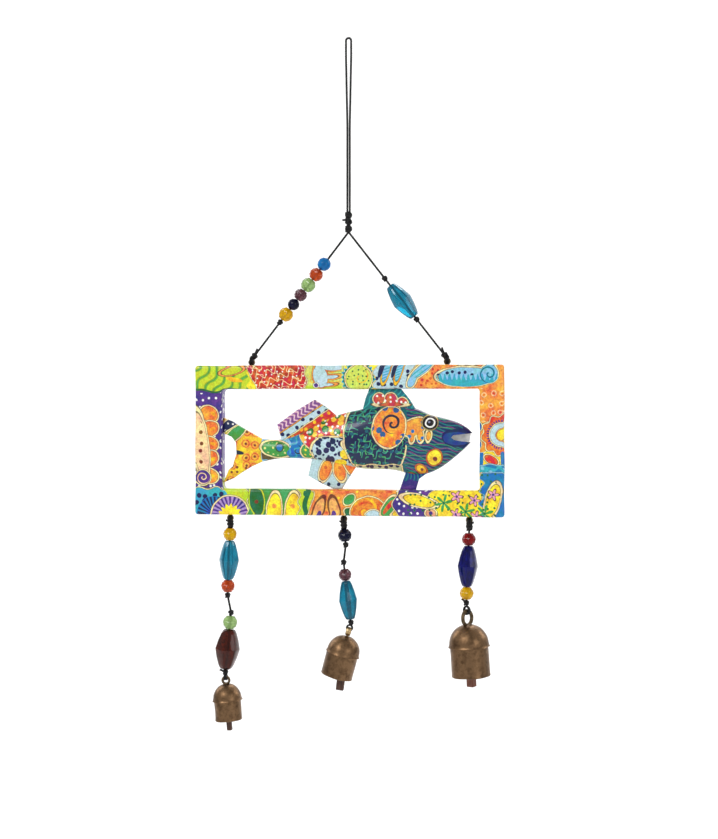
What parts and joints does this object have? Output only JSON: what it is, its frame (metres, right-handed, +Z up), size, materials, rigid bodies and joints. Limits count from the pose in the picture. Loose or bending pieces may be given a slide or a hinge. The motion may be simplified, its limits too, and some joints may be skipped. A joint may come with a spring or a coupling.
{
  "type": "hanging bell mobile",
  "caption": "Hanging mobile: carved painted fish in a wooden frame on a beaded cord bridle, with strands of glass beads and bells below.",
  "frame": {"origin": "where a hook bears, under the top of the hanging loop and midway through the cord's width", "axes": "+X to the right as the fish faces, +Y to the back, +Z up along the hanging loop"},
  "size_m": [0.217, 0.0276, 0.4881],
  "materials": {
    "waxed_cord": "waxed",
    "painted_frame": "gloss varnish over paint",
    "painted_fish": "gloss varnish over paint",
    "brass_wire": "satin",
    "brazed_bell": "brazed, tarnished",
    "dark_wood": "bare",
    "red_wood": "bare",
    "yellow_glass": "faceted",
    "navy_glass": "faceted",
    "mauve_glass": "faceted",
    "green_glass": "faceted",
    "orange_glass": "faceted",
    "blue_glass": "faceted",
    "teal_glass": "faceted",
    "brown_glass": "faceted",
    "red_glass": "faceted",
    "cobalt_glass": "faceted"
  },
  "bodies": {
    "loop": {"hanging_loop": "waxed_cord"},
    "upper_knot": {"apex_upper_knot": "waxed_cord"},
    "lower_knot": {"apex_lower_knot": "waxed_cord"},
    "bridle": {"left_bridle_cord": "waxed_cord", "right_bridle_cord": "waxed_cord"},
    "frame": {"frame": "painted_frame", "fish_body": "painted_fish", "tail_fin": "painted_fish", "front_dorsal_fin": "painted_fish", "rear_dorsal_fin": "painted_fish", "pelvic_fin": "painted_fish", "anal_fin": "painted_fish", "top_screw_eyes": "brass_wire", "bottom_screw_eyes": "brass_wire"},
    "left_tie": {"left_eye_tie": "waxed_cord"},
    "left_upper": {"left_upper_cord": "waxed_cord"},
    "left_link": {"left_link_cord": "waxed_cord"},
    "left_lower": {"left_lower_cord": "waxed_cord"},
    "left_bell_tie": {"left_bell_tie": "waxed_cord"},
    "left_bell": {"left_bell_hanger": "brazed_bell", "left_bell_crown": "brazed_bell", "left_bell_barrel": "brazed_bell"},
    "left_clapper": {"left_clapper": "dark_wood"},
    "middle_tie": {"middle_eye_tie": "waxed_cord"},
    "middle_upper": {"middle_upper_cord": "waxed_cord"},
    "middle_link": {"middle_link_cord": "waxed_cord"},
    "middle_lower": {"middle_lower_cord": "waxed_cord"},
    "middle_bell_tie": {"middle_bell_tie": "waxed_cord"},
    "middle_bell": {"middle_bell_hanger": "brazed_bell", "middle_bell_crown": "brazed_bell", "middle_bell_barrel": "brazed_bell"},
    "middle_clapper": {"middle_clapper": "dark_wood"},
    "right_tie": {"right_eye_tie": "waxed_cord"},
    "right_upper": {"right_upper_cord": "waxed_cord"},
    "right_bell_tie": {"right_bell_tie": "waxed_cord"},
    "right_bell": {"right_bell_hanger": "brazed_bell", "right_bell_crown": "brazed_bell", "right_bell_barrel": "brazed_bell"},
    "right_clapper": {"right_clapper": "red_wood"},
    "bridle_yellow": {"bridle_yellow_bead": "yellow_glass"},
    "bridle_navy": {"bridle_navy_bead": "navy_glass"},
    "bridle_mauve": {"bridle_mauve_bead": "mauve_glass"},
    "bridle_green": {"bridle_green_bead": "green_glass"},
    "bridle_orange": {"bridle_orange_bead": "orange_glass"},
    "bridle_blue": {"bridle_blue_bead": "blue_glass"},
    "bridle_long": {"bridle_long_bead": "teal_glass"},
    "left_yellow": {"left_yellow_bead": "yellow_glass"},
    "left_long": {"left_long_bead": "teal_glass"},
    "left_orange": {"left_orange_bead": "orange_glass"},
    "left_green": {"left_green_bead": "green_glass"},
    "left_brown": {"left_brown_bead": "brown_glass"},
    "middle_navy": {"middle_navy_bead": "navy_glass"},
    "middle_mauve": {"middle_mauve_bead": "mauve_glass"},
    "middle_long": {"middle_long_bead": "teal_glass"},
    "right_red": {"right_red_bead": "red_glass"},
    "right_long": {"right_long_bead": "cobalt_glass"},
    "right_yellow": {"right_yellow_bead": "yellow_glass"}
  },
  "joints": [
    {"name": "loop_twist", "type": "hinge", "parent": "loop", "child": "upper_knot", "pos_m": [0, 0, -0.1255], "axis": [0, 0, 1], "range_deg": [-90, 90]},
    {"name": "bridle_sway", "type": "hinge", "parent": "upper_knot", "child": "lower_knot", "pos_m": [0, 0, -0.1255], "axis": [0, 1, 0], "range_deg": [-25, 25]},
    {"name": "bridle_swing", "type": "hinge", "parent": "lower_knot", "child": "bridle", "pos_m": [0, 0, -0.133], "axis": [1, 0, 0], "range_deg": [-35, 35]},
    {"name": "frame_tilt", "type": "hinge", "parent": "bridle", "child": "frame", "pos_m": [0, 0, -0.224], "axis": [1, 0, 0], "range_deg": [-30, 30]},
    {"name": "left_tie_swing", "type": "hinge", "parent": "frame", "child": "left_tie", "pos_m": [-0.0844, 0, -0.338], "axis": [1, 0, 0], "range_deg": [-35, 35]},
    {"name": "left_upper_sway", "type": "hinge", "parent": "left_tie", "child": "left_upper", "pos_m": [-0.0844, 0, -0.3409], "axis": [0, 1, 0], "range_deg": [-12, 12]},
    {"name": "left_link_swing", "type": "hinge", "parent": "left_upper", "child": "left_link", "pos_m": [-0.08641, 0, -0.39098], "axis": [1, 0, 0], "range_deg": [-25, 25]},
    {"name": "left_lower_sway", "type": "hinge", "parent": "left_link", "child": "left_lower", "pos_m": [-0.08392, 0, -0.40313], "axis": [0, 1, 0], "range_deg": [-12, 12]},
    {"name": "left_bell_tie_sway", "type": "hinge", "parent": "left_lower", "child": "left_bell_tie", "pos_m": [-0.08807, 0, -0.44545], "axis": [0, 1, 0], "range_deg": [-20, 20]},
    {"name": "left_bell_swing", "type": "hinge", "parent": "left_bell_tie", "child": "left_bell", "pos_m": [-0.08782, 0, -0.44874], "axis": [0.9971, 0, 0.0767], "range_deg": [-25, 25]},
    {"name": "left_clapper_swing", "type": "hinge", "parent": "left_bell", "child": "left_clapper", "pos_m": [-0.08704, 0, -0.45881], "axis": [0.9971, 0, 0.0767], "range_deg": [-16, 16]},
    {"name": "middle_tie_swing", "type": "hinge", "parent": "frame", "child": "middle_tie", "pos_m": [-0.0033, 0, -0.338], "axis": [1, 0, 0], "range_deg": [-35, 35]},
    {"name": "middle_upper_sway", "type": "hinge", "parent": "middle_tie", "child": "middle_upper", "pos_m": [-0.0033, 0, -0.3409], "axis": [0, 1, 0], "range_deg": [-12, 12]},
    {"name": "middle_link_swing", "type": "hinge", "parent": "middle_upper", "child": "middle_link", "pos_m": [-0.00197, 0, -0.35419], "axis": [1, 0, 0], "range_deg": [-25, 25]},
    {"name": "middle_lower_sway", "type": "hinge", "parent": "middle_link", "child": "middle_lower", "pos_m": [-0.00351, 0, -0.3665], "axis": [0, 1, 0], "range_deg": [-12, 12]},
    {"name": "middle_bell_tie_sway", "type": "hinge", "parent": "middle_lower", "child": "middle_bell_tie", "pos_m": [0.00166, 0, -0.40857], "axis": [-0.9659, 0, 0.2588], "range_deg": [-20, 20]},
    {"name": "middle_bell_swing", "type": "hinge", "parent": "middle_bell_tie", "child": "middle_bell", "pos_m": [0.00068, 0, -0.41224], "axis": [0, 1, 0], "range_deg": [-25, 25]},
    {"name": "middle_clapper_swing", "type": "hinge", "parent": "middle_bell", "child": "middle_clapper", "pos_m": [-0.00222, 0, -0.42306], "axis": [0, 1, 0], "range_deg": [-6, 22]},
    {"name": "right_tie_swing", "type": "hinge", "parent": "frame", "child": "right_tie", "pos_m": [0.0843, 0, -0.338], "axis": [1, 0, 0], "range_deg": [-35, 35]},
    {"name": "right_upper_sway", "type": "hinge", "parent": "right_tie", "child": "right_upper", "pos_m": [0.0843, 0, -0.3409], "axis": [0, 1, 0], "range_deg": [-12, 12]},
    {"name": "right_bell_tie_sway", "type": "hinge", "parent": "right_upper", "child": "right_bell_tie", "pos_m": [0.08219, 0, -0.39338], "axis": [-0.8174, 0.5736, -0.0543], "range_deg": [-20, 20]},
    {"name": "right_bell_swing", "type": "hinge", "parent": "right_bell_tie", "child": "right_bell", "pos_m": [0.08256, 0, -0.39887], "axis": [0.5723, 0.8192, 0.038], "range_deg": [-25, 25]},
    {"name": "right_clapper_swing", "type": "hinge", "parent": "right_bell", "child": "right_clapper", "pos_m": [0.08352, 0, -0.41343], "axis": [0.5723, 0.8192, 0.038], "range_deg": [-15, 15]},
    {"name": "bridle_yellow_spin", "type": "hinge", "parent": "bridle", "child": "bridle_yellow", "pos_m": [-0.04449, 0, -0.19243], "axis": [0.6133, 0, 0.7898], "continuous": true},
    {"name": "bridle_navy_spin", "type": "hinge", "parent": "bridle", "child": "bridle_navy", "pos_m": [-0.03905, 0, -0.18544], "axis": [0.6133, 0, 0.7898], "continuous": true},
    {"name": "bridle_mauve_spin", "type": "hinge", "parent": "bridle", "child": "bridle_mauve", "pos_m": [-0.03397, 0, -0.17889], "axis": [0.6133, 0, 0.7898], "continuous": true},
    {"name": "bridle_green_spin", "type": "hinge", "parent": "bridle", "child": "bridle_green", "pos_m": [-0.02854, 0, -0.17189], "axis": [0.6133, 0, 0.7898], "continuous": true},
    {"name": "bridle_orange_spin", "type": "hinge", "parent": "bridle", "child": "bridle_orange", "pos_m": [-0.02293, 0, -0.16467], "axis": [0.6133, 0, 0.7898], "continuous": true},
    {"name": "bridle_blue_spin", "type": "hinge", "parent": "bridle", "child": "bridle_blue", "pos_m": [-0.01732, 0, -0.15745], "axis": [0.6133, 0, 0.7898], "continuous": true},
    {"name": "bridle_long_spin", "type": "hinge", "parent": "bridle", "child": "bridle_long", "pos_m": [0.03784, 0, -0.18388], "axis": [-0.6133, 0, 0.7898], "continuous": true},
    {"name": "left_yellow_spin", "type": "hinge", "parent": "left_upper", "child": "left_yellow", "pos_m": [-0.08467, 0, -0.34757], "axis": [0.0401, 0, 0.9992], "continuous": true},
    {"name": "left_long_spin", "type": "hinge", "parent": "left_upper", "child": "left_long", "pos_m": [-0.08541, 0, -0.36594], "axis": [0.0401, 0, 0.9992], "continuous": true},
    {"name": "left_orange_spin", "type": "hinge", "parent": "left_upper", "child": "left_orange", "pos_m": [-0.08614, 0, -0.3843], "axis": [0.0401, 0, 0.9992], "continuous": true},
    {"name": "left_green_spin", "type": "hinge", "parent": "left_lower", "child": "left_green", "pos_m": [-0.0846, 0, -0.41006], "axis": [0.0976, 0, 0.9952], "continuous": true},
    {"name": "left_brown_spin", "type": "hinge", "parent": "left_lower", "child": "left_brown", "pos_m": [-0.08645, 0, -0.42898], "axis": [0.0976, 0, 0.9952], "continuous": true},
    {"name": "middle_navy_spin", "type": "hinge", "parent": "middle_upper", "child": "middle_navy", "pos_m": [-0.00264, 0, -0.34755], "axis": [-0.0993, 0, 0.9951], "continuous": true},
    {"name": "middle_mauve_spin", "type": "hinge", "parent": "middle_lower", "child": "middle_mauve", "pos_m": [-0.00245, 0, -0.37513], "axis": [-0.1219, 0, 0.9925], "continuous": true},
    {"name": "middle_long_spin", "type": "hinge", "parent": "middle_lower", "child": "middle_long", "pos_m": [-0.00028, 0, -0.39279], "axis": [-0.1219, 0, 0.9925], "continuous": true},
    {"name": "right_red_spin", "type": "hinge", "parent": "right_upper", "child": "right_red", "pos_m": [0.08396, 0, -0.34927], "axis": [0.0401, 0, 0.9992], "continuous": true},
    {"name": "right_long_spin", "type": "hinge", "parent": "right_upper", "child": "right_long", "pos_m": [0.08321, 0, -0.36799], "axis": [0.0401, 0, 0.9992], "continuous": true},
    {"name": "right_yellow_spin", "type": "hinge", "parent": "right_upper", "child": "right_yellow", "pos_m": [0.08246, 0, -0.3867], "axis": [0.0401, 0, 0.9992], "continuous": true}
  ]
}
